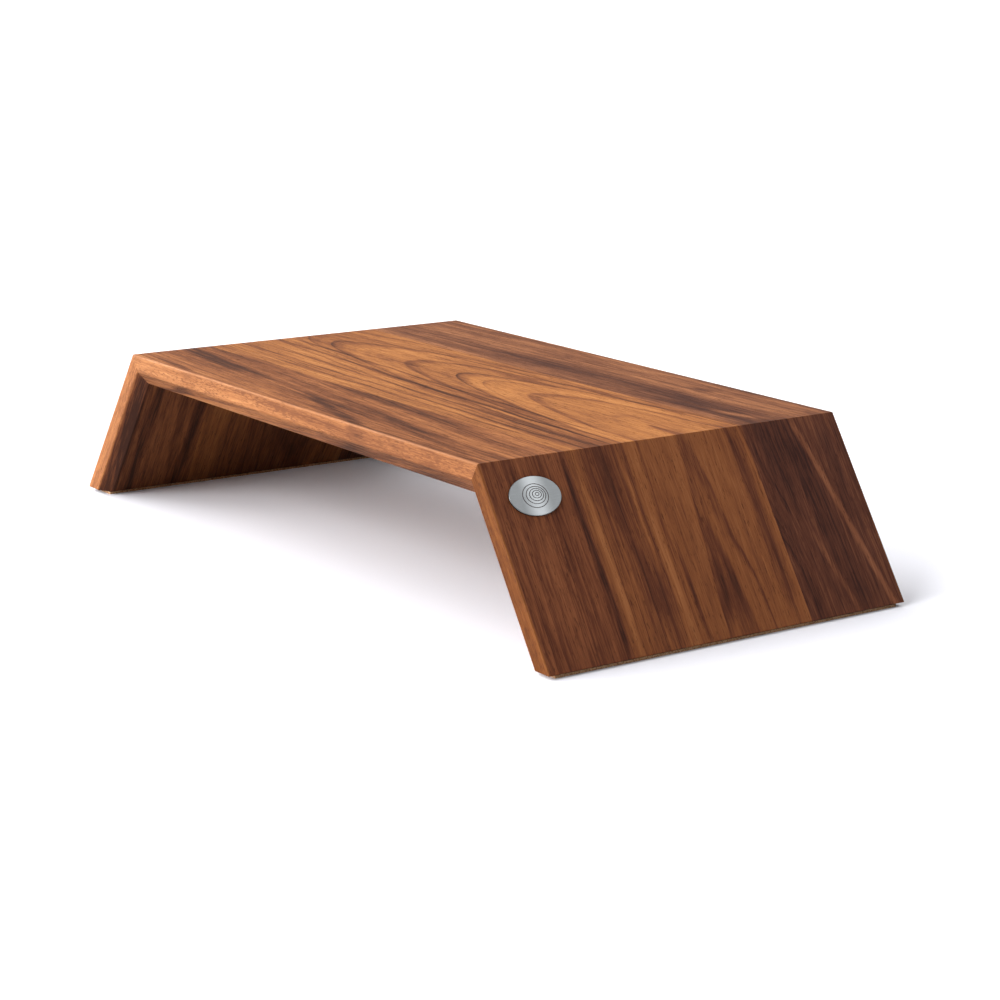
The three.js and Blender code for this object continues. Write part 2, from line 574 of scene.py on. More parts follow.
@dataclass(frozen=True)
class WalnutRow:
    """The log that one row of staves is cut from: its rings, its streaks and its colours.

    The heart's place is across and through the board, in log millimetres. Depth is how dark the
    wood is, from 0 to 1, and band to mottle are how much each effect adds to it. Edge is what
    the long edge faces add, where only a share of the rings shows; it lightens them as painted
    light, as though they were lit more than the faces.
    """

    heart_y: float
    heart_z: float
    shift: float = 0.0
    straight: float = 150.0
    spread: float = 600.0
    march: float = 62.0
    waver: float = 14.0
    lines: float = 1.0
    seed: float = 0.0
    depth: float = 0.0
    band: float = 0.26
    line: float = 0.34
    fine: float = 0.15
    streaky: float = 0.24
    fibre: float = 0.14
    hair: float = 0.27
    mottle: float = 0.14
    grain: float = 1.0
    edge: float = -0.1
    edge_rings: float = 0.15
    streaks: tuple[Streak, ...] = ()
    knots: tuple[Knot, ...] = ()
    pale: Colour = (0.52, 0.230, 0.105)
    light: Colour = (0.36, 0.142, 0.062)
    middle: Colour = (0.19, 0.068, 0.034)
    dark: Colour = (0.060, 0.024, 0.017)


@dataclass(frozen=True)
class StaveFinish(Finish):
    """Oiled walnut: one row's wood, as one panel's stave shows it.

    Pores, dashes and the worn arris with its painted highlight are how much of each shows, and
    width is how far that arris strip reaches, in log millimetres.
    """

    row: WalnutRow
    tint: Tint
    panel: PanelFrame
    effects: WoodEffects
    pores: float = 0.6
    dashes: float = 0.8
    wear: float = 0.5
    width: float = 1.5
    rough: float = 0.42
    relief: float = 0.12 * MM

    def drawn(self, sheet: Sheet) -> dict[str, Value]:
        """Draws the finish.

        Args:
            sheet: the material's sheet.

        Returns:
            What feeds the shader's inputs, by name.
        """
        row, tint = self.row, self.tint
        log = self.panel.log_place(sheet)
        count = sheet.effect(self.effects.rings, row, log=log)["Count"]
        for knot in row.knots:
            swell = sheet.effect(self.effects.knot, knot, log=log)["Swell"]
            count = sheet.total(count, (swell, knot.rings))
        tone = sheet.effect(self.effects.tone, row, count=count)
        fibres = sheet.effect(self.effects.fibres, row, log=log)
        half = self.panel.half_depth / MM
        arris = sheet.effect(self.effects.arris, self, log=log, half_depth=half)
        side = arris["Side"]
        shown = sheet.total(1.0, (side, row.edge_rings - 1.0))
        depth = sheet.total(
            # Painted shade: the panel's depth darkens the left leg, which stands in shade.
            row.depth + tint.depth,
            # Painted light: the long edge faces are lightened as though lit more.
            (side, row.edge),
            (sheet.times(tone["Band"], shown), row.band),
            (sheet.times(tone["Line"], shown), row.line * tint.contrast),
            (sheet.times(tone["Fine"], shown), row.fine * tint.contrast),
            (fibres["Streaks"], row.streaky * row.grain * tint.contrast),
            (fibres["Fibre"], row.fibre * row.grain),
            (fibres["Hair"], row.hair * row.grain),
            (fibres["Mottle"], row.mottle),
            *self._streaks(sheet, log),
        )
        colour = sheet.ramp(
            depth, (0.0, row.pale), (0.33, row.light), (0.66, row.middle), (1.0, row.dark)
        )
        colour = sheet.mix(sheet.times(fibres["Pores"], self.pores), colour, row.dark)
        dashes = sheet.times(sheet.times(fibres["Dashes"], side), self.dashes)
        colour = sheet.mix(dashes, colour, row.middle)
        # Worn arris, lightened, with a painted highlight where it catches the light.
        colour = sheet.mix(sheet.times(arris["Wear"], self.wear), colour, row.pale)
        # Painted light and shade: each panel's face and edge colours darken what stands in shade
        # and lighten what faces the light.
        colour = sheet.mix(1.0, colour, sheet.mix(side, tint.face, tint.edge), "MULTIPLY")
        rough = sheet.total(
            self.rough, (fibres["Fibre"], 0.1), (fibres["Pores"], 0.2), (fibres["Mottle"], 0.06)
        )
        height = sheet.total(
            0.0, (fibres["Hair"], 0.35), (fibres["Pores"], -0.8), (tone["Line"], -0.15)
        )
        normal = sheet.bump(height, 0.35, self.relief)
        return {
            "Base Color": colour, "Roughness": rough, "Normal": normal, "Specular IOR Level": 0.08
        }

    def _streaks(self, sheet: Sheet, log: Socket) -> list[tuple[Socket, float]]:
        """Draws the row's streaks that reach the panel.

        Args:
            sheet: the material's sheet.
            log: the place in the log.

        Returns:
            The mask of each streak, with its strength.
        """
        start, end = (place / MM for place in self.panel.ends)
        return [
            (sheet.effect(self.effects.streak, streak, log=log)["Mask"], streak.strength)
            for streak in self.row.streaks
            if streak.start <= end and streak.end >= start
        ]


@dataclass(frozen=True)
class BeechFinish(Finish):
    """Planed beech, as loose tenons are: pale pink-brown with small dark flecks."""

    pale: Colour = (0.68, 0.45, 0.27)
    middle: Colour = (0.60, 0.37, 0.21)
    dark: Colour = (0.50, 0.29, 0.16)
    fleck: Colour = (0.30, 0.15, 0.08)

    def drawn(self, sheet: Sheet) -> dict[str, Value]:
        """Draws the finish.

        Args:
            sheet: the material's sheet.

        Returns:
            What feeds the shader's inputs, by name.
        """
        long = sheet.stretched(sheet.here(), (60.0, 900.0, 220.0))
        grain = sheet.noise(long, 1.0, 4.0, 0.6)
        fleck = sheet.fit(sheet.noise(long, 2.3, 1.0), 0.62, 0.7, (0.0, 0.5))
        colour = sheet.ramp(grain, (0.3, self.dark), (0.55, self.middle), (0.75, self.pale))
        return {
            "Base Color": sheet.mix(fleck, colour, self.fleck),
            "Roughness": sheet.fit(grain, 0.2, 0.8, (0.55, 0.75)),
            "Normal": sheet.bump(grain, 0.3, 0.1 * MM),
        }


@dataclass(frozen=True)
class CorkFinish(Finish):
    """Pressed cork granules, tan with brown bark specks."""

    granule: float = 0.7 * MM
    crumb: float = 0.45 * MM
    bark: Colour = (0.24, 0.11, 0.05)
    brown: Colour = (0.50, 0.26, 0.13)
    tan: Colour = (0.68, 0.39, 0.21)
    pale: Colour = (0.80, 0.53, 0.31)
    seam: Colour = (0.26, 0.12, 0.06)

    def drawn(self, sheet: Sheet) -> dict[str, Value]:
        """Draws the finish.

        Args:
            sheet: the material's sheet.

        Returns:
            What feeds the shader's inputs, by name.
        """
        place = sheet.here()
        inputs = {"Vector": place, "Scale": 1.0 / self.granule}
        cells = sheet.add("TexVoronoi", inputs, feature="F1")
        edges = sheet.add("TexVoronoi", inputs, feature="DISTANCE_TO_EDGE")
        crumb = sheet.noise(place, 1.0 / self.crumb, 3.0)
        cell = sheet.split(cells.outputs["Color"])[0]
        shade = sheet.total(0.0, (cell, 0.7), (crumb, 0.5))
        colour = sheet.ramp(
            shade, (0.1, self.bark), (0.3, self.brown), (0.6, self.tan), (0.95, self.pale)
        )
        seam = sheet.fit(edges.outputs["Distance"], 0.08, 0.0)
        return {
            "Base Color": sheet.mix(sheet.times(seam, 0.3), colour, self.seam),
            "Roughness": sheet.fit(crumb, 0.2, 0.8, (0.8, 0.95)),
            "Normal": sheet.bump(sheet.minus(crumb, seam), 0.6, 0.2 * MM),
        }


@dataclass(frozen=True)
class FilmFinish(Finish):
    """Dark adhesive, as a film under the cork or as a foam pad."""

    colour: Colour = (0.035, 0.024, 0.018)
    cell: float = 0.4 * MM
    cloud: float = 60.0

    def drawn(self, sheet: Sheet) -> dict[str, Value]:
        """Draws the finish.

        Args:
            sheet: the material's sheet.

        Returns:
            What feeds the shader's inputs, by name.
        """
        place = sheet.here()
        cells = sheet.noise(place, 1.0 / self.cell)
        share = sheet.times(cells, sheet.noise(place, self.cloud))
        pale = tuple(2.2 * part for part in self.colour)
        return {
            "Base Color": sheet.mix(share, self.colour, pale),
            "Roughness": sheet.fit(cells, 0.2, 0.8, (0.5, 0.8)),
            "Normal": sheet.bump(cells, 0.4, 0.05 * MM),
        }


@dataclass(frozen=True)
class SteelFinish(Finish):
    """Stainless steel brushed along Y, with painted light and shade.

    A painted highlight band runs across its middle: its span is how far from the middle that
    band starts to fade, and how far it reaches. Away from it the steel is darker, painted shade,
    as it is in the brushing's darker streaks.
    Wall is where, above the plate's mid-plane, its wall in painted dark shade gives way to the
    brushed rim.
    """

    middle: Vector
    turn: float
    colour: Colour = (0.57, 0.60, 0.62)
    rough: float = 0.32
    dull_and_shade: float = 0.3
    highlight_span: Span = (0.5 * MM, 10.0 * MM)
    wall_shade: Colour = (0.03, 0.028, 0.028)
    wall: Span = (0.08 * MM, 0.16 * MM)
    brushing: tuple[float, float, float] = (9000.0, 110.0, 300.0)

    def drawn(self, sheet: Sheet) -> dict[str, Value]:
        """Draws the finish.

        Args:
            sheet: the material's sheet.

        Returns:
            What feeds the shader's inputs, by name.
        """
        place = sheet.here_from(self.middle, self.turn)
        brush = sheet.noise(place, self.brushing, 4.0, 0.7)
        smudge = sheet.noise(place, 120.0)
        _, along, above = sheet.split(place)
        # Painted highlight: a band across the middle is brighter, and the steel away from it
        # darker.
        highlight = sheet.fit(sheet.math("ABSOLUTE", along), self.highlight_span[1], self.highlight_span[0])
        dull_and_shaded = tuple(self.dull_and_shade * part for part in self.colour)
        share = sheet.total(0.0, (brush, 0.4), (highlight, 0.6))
        colour = sheet.mix(share, dull_and_shaded, self.colour)
        # Painted shade: the plate's wall below the rim is near black.
        face = sheet.fit(above, *self.wall)
        return {
            "Base Color": sheet.mix(face, self.wall_shade, colour),
            "Metallic": 1.0,
            "Roughness": sheet.total(self.rough - 0.08, (brush, 0.16), (smudge, 0.06)),
            "Normal": sheet.bump(brush, 0.25, 0.02 * MM),
        }


@dataclass(frozen=True)
class EtchFinish(Finish):
    """The dark fill of lines etched in the badge."""

    colour: Colour = (0.045, 0.035, 0.033)

    def drawn(self, sheet: Sheet) -> dict[str, Value]:
        """Draws the finish.

        Args:
            sheet: the material's sheet.

        Returns:
            What feeds the shader's inputs, by name.
        """
        burn = sheet.noise(sheet.here(), 3000.0, 3.0)
        pale = tuple(2.5 * part for part in self.colour)
        return {
            "Base Color": sheet.mix(burn, self.colour, pale),
            "Roughness": sheet.fit(burn, 0.2, 0.8, (0.55, 0.8)),
        }


@dataclass(frozen=True)
class FloorFinish(Finish):
    """A plain pale floor, which throws less light back than it shows."""

    shade: Colour = (0.94, 0.945, 1.0)
    bounce: Colour = (0.6, 0.6, 0.6)

    def drawn(self, sheet: Sheet) -> dict[str, Value]:
        """Draws the finish.

        Args:
            sheet: the material's sheet.

        Returns:
            What feeds the shader's inputs, by name.
        """
        seen = sheet.add("LightPath").outputs["Is Camera Ray"]
        colour = sheet.mix(seen, self.bounce, self.shade)
        return {"Base Color": colour, "Roughness": 1.0, "Specular IOR Level": 0.0}


# Measuring the frame and making pieces


@dataclass(frozen=True)
class Corner:
    """The fold between the top and a leg, measured on the CAD nodes."""

    arris_x: float
    arris_z: float
    board: float
    splay: float
    foot_z: float
    half_depth: float

    @classmethod
    def measured(cls) -> Corner:
        """Reads the corner off the top and the right leg.

        Returns:
            The corner.
        """
        low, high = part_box("top_stave_front")
        leg_low, leg_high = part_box("leg_right_stave_front")
        splay = 0.0
        arris_x = high.x
        for _ in range(12):  # the gap and the splay depend on each other, and settle at once
            arris_x = high.x + MITRE_GAP / 2 / math.cos((math.pi / 2 - splay) / 2)
            splay = math.atan2(leg_high.x - arris_x, high.z - leg_low.z)
        return cls(arris_x, high.z, high.z - low.z, splay, leg_low.z, -low.y)

    @property
    def fold(self) -> float:
        """The turn from the top's direction to a leg's."""
        return math.pi / 2 - self.splay

    @property
    def slope(self) -> float:
        """The length of a leg's outer face, down its slope."""
        return (self.arris_z - self.foot_z) / math.cos(self.splay)


@dataclass(frozen=True)
class PanelFrame:
    """A panel's own frame: X along the grain, Y along the depth, Z out of the outer face.

    Unfolded and ends are where its origin and its ends lie along the row, as if the legs were
    unfolded level with the top.
    """

    origin: Vector
    turn: float
    unfolded: float
    half_depth: float
    ends: Span

    @property
    def matrix(self) -> Matrix:
        """From the panel's frame to the riser's."""
        return Matrix.Translation(self.origin) @ Matrix.Rotation(self.turn, 4, "Y")

    def log_place(self, sheet: Sheet) -> Socket:
        """The place in the unfolded row's log, in millimetres."""
        level = sheet.moved(sheet.here_from(self.origin, self.turn), (self.unfolded, 0.0, 0.0))
        return sheet.stretched(level, (1 / MM, 1 / MM, 1 / MM))


def near(a: float, b: float) -> bool:
    """Whether two lengths are the same."""
    return math.isclose(a, b, abs_tol=NEAR)


def new_object(name: str, data: bpy.types.ID) -> Piece:
    """Makes an object in the scene.

    Args:
        name: the object's name.
        data: the mesh, lamp or camera that it shows.

    Returns:
        The object.
    """
    made = bpy.data.objects.new(name, data)
    bpy.context.scene.collection.objects.link(made)
    return made


def new_solid(bm: Shape, name: str) -> Piece:
    """Makes an object of a bmesh.

    Args:
        bm: the shape; it is freed.
        name: the object's name.

    Returns:
        The object.
    """
    mesh = bpy.data.meshes.new(name)
    bm.to_mesh(mesh)
    bm.free()
    return new_object(name, mesh)


def finished(bm: Shape, name: str, place: Matrix, node: str) -> Piece:
    """Turns a bmesh into a piece that stands for a CAD node.

    Args:
        bm: the piece's shape, in its own frame; it is freed.
        name: the piece's name.
        place: from the piece's frame to the riser's.
        node: the CAD node that it replaces.

    Returns:
        The piece, riding on the one body.
    """
    bmesh.ops.transform(bm, matrix=place, verts=bm.verts)
    bmesh.ops.recalc_face_normals(bm, faces=bm.faces)
    piece = new_solid(bm, name)
    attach(piece, "root")
    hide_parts(node)
    return piece


def new_box(low: Vector, high: Vector) -> Shape:
    """Starts a bmesh as a box.

    Args:
        low: its lowest corner.
        high: its highest corner.

    Returns:
        The bmesh.
    """
    bm = bmesh.new()
    bmesh.ops.create_cube(bm, size=1.0)
    bmesh.ops.scale(bm, vec=high - low, verts=bm.verts)
    bmesh.ops.translate(bm, vec=(low + high) / 2, verts=bm.verts)
    return bm


def slice_off(bm: Shape, point: Vector, normal: Vector) -> None:
    """Planes off whatever lies beyond a plane, and closes the cut.

    Args:
        bm: the shape.
        point: a point on the plane.
        normal: which way the waste lies.
    """
    cut = bmesh.ops.bisect_plane(
        bm,
        geom=bm.verts[:] + bm.edges[:] + bm.faces[:],
        dist=1e-7,
        plane_co=point,
        plane_no=normal,
        clear_outer=True,
    )
    rim = [edge for edge in cut["geom_cut"] if isinstance(edge, bmesh.types.BMEdge)]
    bmesh.ops.edgeloop_fill(bm, edges=rim)


def ease(bm: Shape, corner: Vector, first: Vector, second: Vector, radius: float) -> None:
    """Rounds the edge where two faces meet, with planes that touch the rounding.

    Args:
        bm: the shape.
        corner: a point on the edge.
        first: out of the first face.
        second: out of the second face.
        radius: the rounding's radius.
    """
    between = (first + second).normalized()
    centre = corner - between * (radius / between.dot(first))
    for share in (0.25, 0.5, 0.75):
        normal = first.lerp(second, share).normalized()
        slice_off(bm, centre + normal * radius, normal)


def soften(
    bm: Shape, edges: Sequence[bmesh.types.BMEdge], radius: float, segments: int
) -> None:
    """Rounds some edges over.

    Args:
        bm: the shape.
        edges: the edges to round.
        radius: how far the rounding reaches.
        segments: how many faces it has across.
    """
    made = bmesh.ops.bevel(
        bm,
        geom=list(edges),
        offset=radius,
        affect="EDGES",
        segments=segments,
        profile=0.5,
        material=-1,
    )
    for face in made["faces"]:
        face.smooth = True


def cut_out(piece: Piece, tool: Piece) -> None:
    """Cuts a tool's shape out of a piece.

    Args:
        piece: the piece.
        tool: the tool.
    """
    modifier = piece.modifiers.new("cut", "BOOLEAN")
    modifier.operation = "DIFFERENCE"
    modifier.solver = "EXACT"
    modifier.object = tool
    graph = bpy.context.evaluated_depsgraph_get()
    cut = bpy.data.meshes.new_from_object(piece.evaluated_get(graph))
    piece.modifiers.clear()
    plain = piece.data
    piece.data = cut
    bpy.data.meshes.remove(plain)


def dress(piece: Piece, *materials: bpy.types.Material) -> None:
    """Gives a piece its materials.

    Args:
        piece: the piece, which may have material slots already.
        materials: the materials, in slot order.
    """
    slots = piece.data.materials
    for index, material in enumerate(materials):
        if index < len(slots):
            slots[index] = material
        else:
            slots.append(material)


# The boards


@dataclass
class Panel:
    """A board glued up from three staves.

    Mitres are the ends that are mitred and foot is the end that stands on the floor, if any:
    -1 for the lower end along X, 1 for the upper one.
    """

    name: str
    corner: Corner
    frame: PanelFrame
    mitres: tuple[int, ...]
    foot: int
    tint: Tint
    chamfer_across: float = 8 * MM
    chamfer_deep: float = 6 * MM
    edge_radius: float = 1.0 * MM
    edge_segments: int = 4
    chamfer_radius: float = 0.6 * MM
    arris_radius: float = 0.5 * MM
    foot_radius: float = 0.6 * MM
    pieces: list[Piece] = field(default_factory=list)

    def build(self, mortises: Mortises) -> None:
        """Builds the staves.

        Args:
            mortises: the tool that cuts the mitres' mortises.
        """
        for stave in STAVE_NAMES:
            node = f"{self.name}_stave_{stave}"
            low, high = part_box(node)
            bm = self._stave(low.y, high.y)
            piece = finished(bm, f"{node}_wood", self.frame.matrix, node)
            cut_out(piece, mortises.tool)
            self.pieces.append(piece)

    def _stave(self, front: float, back: float) -> Shape:
        """Shapes one stave in the panel's frame.

        Args:
            front: where it begins along the depth.
            back: where it ends.

        Returns:
            The shape.
        """
        inner = Vector((self._end(-1).x, front, -self.corner.board))
        bm = new_box(inner, Vector((self._end(1).x, back, 0.0)))
        sides = {-1: front, 1: back}
        edges = [way for way, y in sides.items() if near(abs(y), self.corner.half_depth)]
        for way in self.mitres:
            slice_off(bm, self._end(way), self._mitre_normal(way))
        if self.foot:
            self._shape_foot(bm, edges)
        for way in edges:
            self._work_edge(bm, way)
        for way in self.mitres:
            for turn in (self.corner.fold / 4, self.corner.fold / 2):
                slice_off(bm, *self._rounding(way, turn))
        return bm

    def _shape_foot(self, bm: Shape, edges: Sequence[int]) -> None:
        """Cuts the foot level, and rounds what shows of its edges.

        Args:
            bm: the stave.
            edges: which of its sides are the panel's own, -1 for the front and 1 for the back.
        """
        down = self.frame.matrix.to_3x3().inverted() @ -UP
        outer = self._end(self.foot)
        slice_off(bm, outer, down)
        inner = outer + Vector((down.z / down.x, 0.0, -1.0)) * self.corner.board
        ease(bm, outer, UP, down, self.foot_radius)
        ease(bm, inner, -UP, down, self.foot_radius)
        for way in edges:
            corner = Vector((outer.x, way * self.corner.half_depth, 0.0))
            ease(bm, corner, Vector((0.0, way, 0.0)), down, self.foot_radius)

    def _end(self, way: int) -> Vector:
        """The point of the outer face at one end."""
        end = self.frame.ends[0 if way < 0 else 1]
        return Vector((end - self.frame.unfolded, 0.0, 0.0))

    def _mitre_normal(self, way: int) -> Vector:
        """Out of the mitre's face, at one end."""
        half = self.corner.fold / 2
        return Vector((way * math.cos(half), 0.0, -math.sin(half)))

    def _rounding(self, way: int, turn: float) -> tuple[Vector, Vector]:
        """A plane that touches the rounding of a mitred arris.

        Args:
            way: which end of the panel.
            turn: how far round the rounding the plane touches it.

        Returns:
            A point on the plane, and its normal.
        """
        half = self.corner.fold / 2
        inward = Vector((-way * math.sin(half), 0.0, -math.cos(half)))
        centre = self._end(way) + inward * (self.arris_radius / math.cos(half))
        normal = Vector((way * math.sin(turn), 0.0, math.cos(turn)))
        return centre + normal * self.arris_radius, normal

    def _work_edge(self, bm: Shape, way: int) -> None:
        """Chamfers a long edge inside, and rounds what shows of the others.

        Args:
            bm: the stave.
            way: -1 for its front edge, 1 for its back edge.
        """
        y = way * self.corner.half_depth
        chamfer_y = y - way * self.chamfer_deep
        slice_off(
            bm,
            Vector((0.0, chamfer_y, -self.corner.board)),
            Vector((0.0, way * self.chamfer_across, -self.chamfer_deep)),
        )
        chamfer_z = self.chamfer_across - self.corner.board
        for edge_y, edge_z, radius in (
            (y, 0.0, self.edge_radius),
            (y, chamfer_z, self.chamfer_radius),
            (chamfer_y, -self.corner.board, self.chamfer_radius),
        ):
            edges = [
                edge
                for edge in bm.edges
                if all(near(v.co.y, edge_y) and near(v.co.z, edge_z) for v in edge.verts)
            ]
            soften(bm, edges, radius, self.edge_segments)

    def dress(self, effects: WoodEffects) -> None:
        """Gives each stave its own walnut.

        Args:
            effects: the shared wood effects.
        """
        for stave, piece, row in zip(STAVE_NAMES, self.pieces, WALNUT_ROWS):
            finish = StaveFinish(row, self.tint, self.frame, effects)
            dress(piece, finish.material(f"walnut_{self.name}_{stave}"))


@dataclass
class Tenons:
    """The loose tenons that hold the mitres, which the boards hide."""

    nodes: list[Piece] = field(default_factory=list)

    def __post_init__(self) -> None:
        """Finds the CAD tenons."""
        found = frame["nodes"].items()
        self.nodes = [node for name, node in found if name.startswith("mitre_tenon")]

    def dress(self) -> None:
        """Gives the tenons their beech."""
        beech = BeechFinish().material("beech")
        for node in self.nodes:
            dress(node, beech)


@dataclass
class Mortises:
    """The slots in the mitred faces, which hold the loose tenons with a little play."""

    tenons: Tenons
    play: float = 0.3 * MM

    def __post_init__(self) -> None:
        """Makes the cutting tool from the CAD tenons."""
        bm = bmesh.new()
        for tenon in self.tenons.nodes:
            self._add(bm, tenon)
        self.tool = new_solid(bm, "mortise_tool")

    def _add(self, bm: Shape, tenon: Piece) -> None:
        """Adds a tenon's shape, grown by the play.

        Args:
            bm: the tool's shape.
            tenon: the CAD tenon.
        """
        copy = bmesh.new()
        copy.from_mesh(tenon.data)
        bmesh.ops.remove_doubles(copy, verts=copy.verts, dist=NEAR)
        bmesh.ops.dissolve_limit(copy, angle_limit=0.01, verts=copy.verts, edges=copy.edges)
        copy.normal_update()
        grown = [v.co + v.normal * self.play * v.calc_shell_factor() for v in copy.verts]
        for vert, place in zip(copy.verts, grown):
            vert.co = place
        mesh = bpy.data.meshes.new("tenon_copy")
        copy.to_mesh(mesh)
        copy.free()
        bm.from_mesh(mesh)
        bpy.data.meshes.remove(mesh)

    def put_away(self) -> None:
        """Removes the tool."""
        bpy.data.objects.remove(self.tool)


# Small parts


@dataclass
class FootStrips:
    """The cork strips under the legs, and the films that hold them."""

    edge_radius: float = 0.25 * MM
    pieces: list[Piece] = field(default_factory=list)

    def build(self) -> None:
        """Builds the cork strips."""
        for side in Side:
            node = f"foot_cork_{side.word}"
            bm = new_box(*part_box(node))
            soften(bm, bm.edges[:], self.edge_radius, 2)
            self.pieces.append(finished(bm, f"{node}_strip", Matrix(), node))

    def dress(self) -> None:
        """Gives the strips their cork, and the CAD films their adhesive."""
        cork = CorkFinish().material("cork")
        film = FilmFinish().material("adhesive_film")
        for side, piece in zip(Side, self.pieces):
            dress(piece, cork)
            dress(frame["nodes"][f"foot_film_{side.word}"], film)


@dataclass(frozen=True)
class EtchedRing:
    """One line of the badge's motif: an oval round a point near the middle."""

    half_length: float
    half_width: float
    centre: Span = (0.0, 0.0)


@dataclass
class Badge:
    """The oval badge: a brushed plate with a bevelled rim and an etched slice of a log."""

    corner: Corner
    segments: int = 96
    rim: float = 0.3 * MM
    groove: float = 0.5 * MM
    groove_depth: float = 0.08 * MM
    groove_steps: int = 48
    rings: tuple[EtchedRing, ...] = (
        EtchedRing(8.0 * MM, 6.6 * MM),
        EtchedRing(6.1 * MM, 4.8 * MM, (-0.3 * MM, 0.4 * MM)),
        EtchedRing(4.4 * MM, 3.4 * MM, (-0.5 * MM, 0.8 * MM)),
        EtchedRing(2.8 * MM, 2.1 * MM, (-0.7 * MM, 1.1 * MM)),
        EtchedRing(1.2 * MM, 0.9 * MM, (-0.8 * MM, 1.3 * MM)),
    )
    piece: Piece | None = None

    @property
    def turn(self) -> float:
        """How far the plate leans, about Y."""
        return self.corner.fold

    def build(self) -> None:
        """Builds the plate on the leg's slope, etches it and gives it its steel."""
        low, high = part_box("badge_plate")
        centre = (low + high) / 2
        thickness = self._thickness()
        half_length = (high.y - low.y) / 2
        half_width = (high.z - low.z - thickness * math.cos(self.turn)) / math.sin(self.turn) / 2
        bm = bmesh.new()
        bmesh.ops.create_circle(bm, cap_ends=True, segments=self.segments, radius=1.0)
        bmesh.ops.scale(bm, vec=(half_width, half_length, 1.0), verts=bm.verts)
        bmesh.ops.translate(bm, vec=(0.0, 0.0, -thickness / 2), verts=bm.verts)
        made = bmesh.ops.extrude_face_region(bm, geom=bm.faces[:])
        raised = [part for part in made["geom"] if isinstance(part, bmesh.types.BMVert)]
        bmesh.ops.translate(bm, vec=(0.0, 0.0, thickness), verts=raised)
        bmesh.ops.recalc_face_normals(bm, faces=bm.faces)
        face = max(bm.faces, key=lambda f: f.calc_center_median().z)
        soften(bm, face.edges[:], self.rim, 3)
        place = Matrix.Translation(centre) @ Matrix.Rotation(self.turn, 4, "Y")
        self.piece = finished(bm, "badge_plate_brushed", place, "badge_plate")
        steel = SteelFinish(centre, self.turn).material("brushed_steel")
        dress(self.piece, steel, EtchFinish().material("etched_lines"))
        tool = self._etching(place, thickness / 2)
        cut_out(self.piece, tool)
        bpy.data.objects.remove(tool)

    def _thickness(self) -> float:
        """Reads the plate's thickness off its CAD node.

        Returns:
            The thickness.
        """
        lean = Matrix.Rotation(-self.turn, 3, "Y")
        heights = [(lean @ vert.co).z for vert in frame["nodes"]["badge_plate"].data.vertices]
        return max(heights) - min(heights)

    def _etching(self, place: Matrix, face: float) -> Piece:
        """Makes the tool that sinks the motif's lines.

        Args:
            place: from the plate's frame to the riser's.
            face: the height of the plate's face over its middle.

        Returns:
            The tool.
        """
        bm = bmesh.new()
        for ring in self.rings:
            start = len(bm.verts)
            half = self.groove / 2 / ring.half_length
            low, high = -self.groove_depth, self.groove_depth
            outline = ((-half, low), (half, low), (half, high), (-half, high))
            section = bm.faces.new(
                [bm.verts.new((1.0 + aside, 0.0, height)) for aside, height in outline]
            )
            bmesh.ops.spin(
                bm,
                geom=[*section.verts, *section.edges],
                cent=(0.0, 0.0, 0.0),
                axis=UP,
                angle=math.tau,
                steps=self.groove_steps,
                use_merge=True,
            )
            bm.faces.remove(section)
            bm.verts.ensure_lookup_table()
            fresh = bm.verts[start:]
            bmesh.ops.scale(bm, vec=(ring.half_width, ring.half_length, 1.0), verts=fresh)
            bmesh.ops.translate(bm, vec=(*ring.centre, face), verts=fresh)
        for side in bm.faces:
            side.material_index = 1
        bmesh.ops.transform(bm, matrix=place, verts=bm.verts)
        bmesh.ops.recalc_face_normals(bm, faces=bm.faces)
        tool = new_solid(bm, "etching_tool")
        dress(tool, *self.piece.data.materials)
        return tool

    def dress(self) -> None:
        """Gives the CAD pad under the plate its adhesive."""
        pad = FilmFinish(colour=(0.02, 0.02, 0.02), cell=0.25 * MM)
        dress(frame["nodes"]["badge_adhesive_pad"], pad.material("adhesive_pad"))


# The riser and the studio

